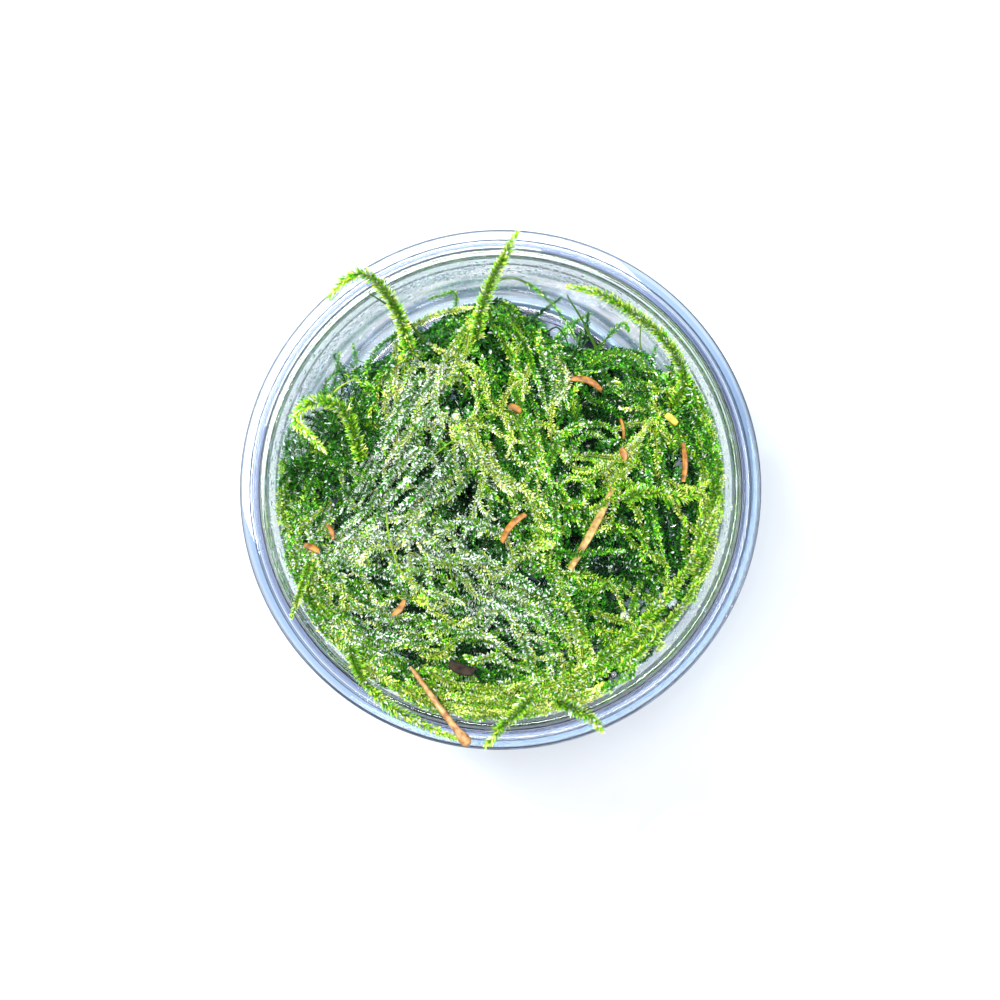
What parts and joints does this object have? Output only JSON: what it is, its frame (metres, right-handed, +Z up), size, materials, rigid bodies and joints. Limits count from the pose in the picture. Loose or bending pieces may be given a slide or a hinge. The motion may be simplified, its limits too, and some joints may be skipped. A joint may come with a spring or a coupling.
{
  "type": "moss clump",
  "caption": "Tangled clump of wet, leafy water moss that fills a clear, round, tapered cup, with loose shoots over its rolled rim and dead needles in it.",
  "frame": {"origin": "centre of the cup's foot, on the surface that it stands on", "axes": "+Z up out of the cup's mouth; -Y towards the side where the moss reaches the rim, +Y towards the side where the wall is bare"},
  "size_m": [0.09, 0.09, 0.0551],
  "materials": {
    "cup": "clear, polished",
    "moss": "wet leaves",
    "shoots": "wet leaves",
    "stems": "wet stems",
    "needles": "wet, dead",
    "husks": "wet, dead",
    "bark": "wet, dead"
  },
  "bodies": {
    "root": {"cup": "cup", "moss_clump": "moss", "shoot_far": "shoots", "shoot_over_rim": "shoots", "shoot_loop_left": "shoots", "shoot_arc_right": "shoots", "shoot_front_left": "shoots", "shoot_front": "shoots", "shoot_front_right": "shoots", "shoot_wall_right": "shoots", "shoot_corner_right": "shoots", "shoot_cross_right": "shoots", "shoot_left_tip": "shoots", "stem_arch": "stems", "stem_right": "stems", "stem_left": "stems", "needle_long": "needles", "needle_short": "needles", "needle_upper": "needles", "needle_right": "needles", "twig": "needles", "stem_chip_right": "husks", "husk_middle": "husks", "bud_scale": "husks", "husk_left": "husks", "chip_left_wall": "husks", "chip_left": "husks", "flake_centre": "husks", "bark_flake": "bark"}
  },
  "joints": []
}
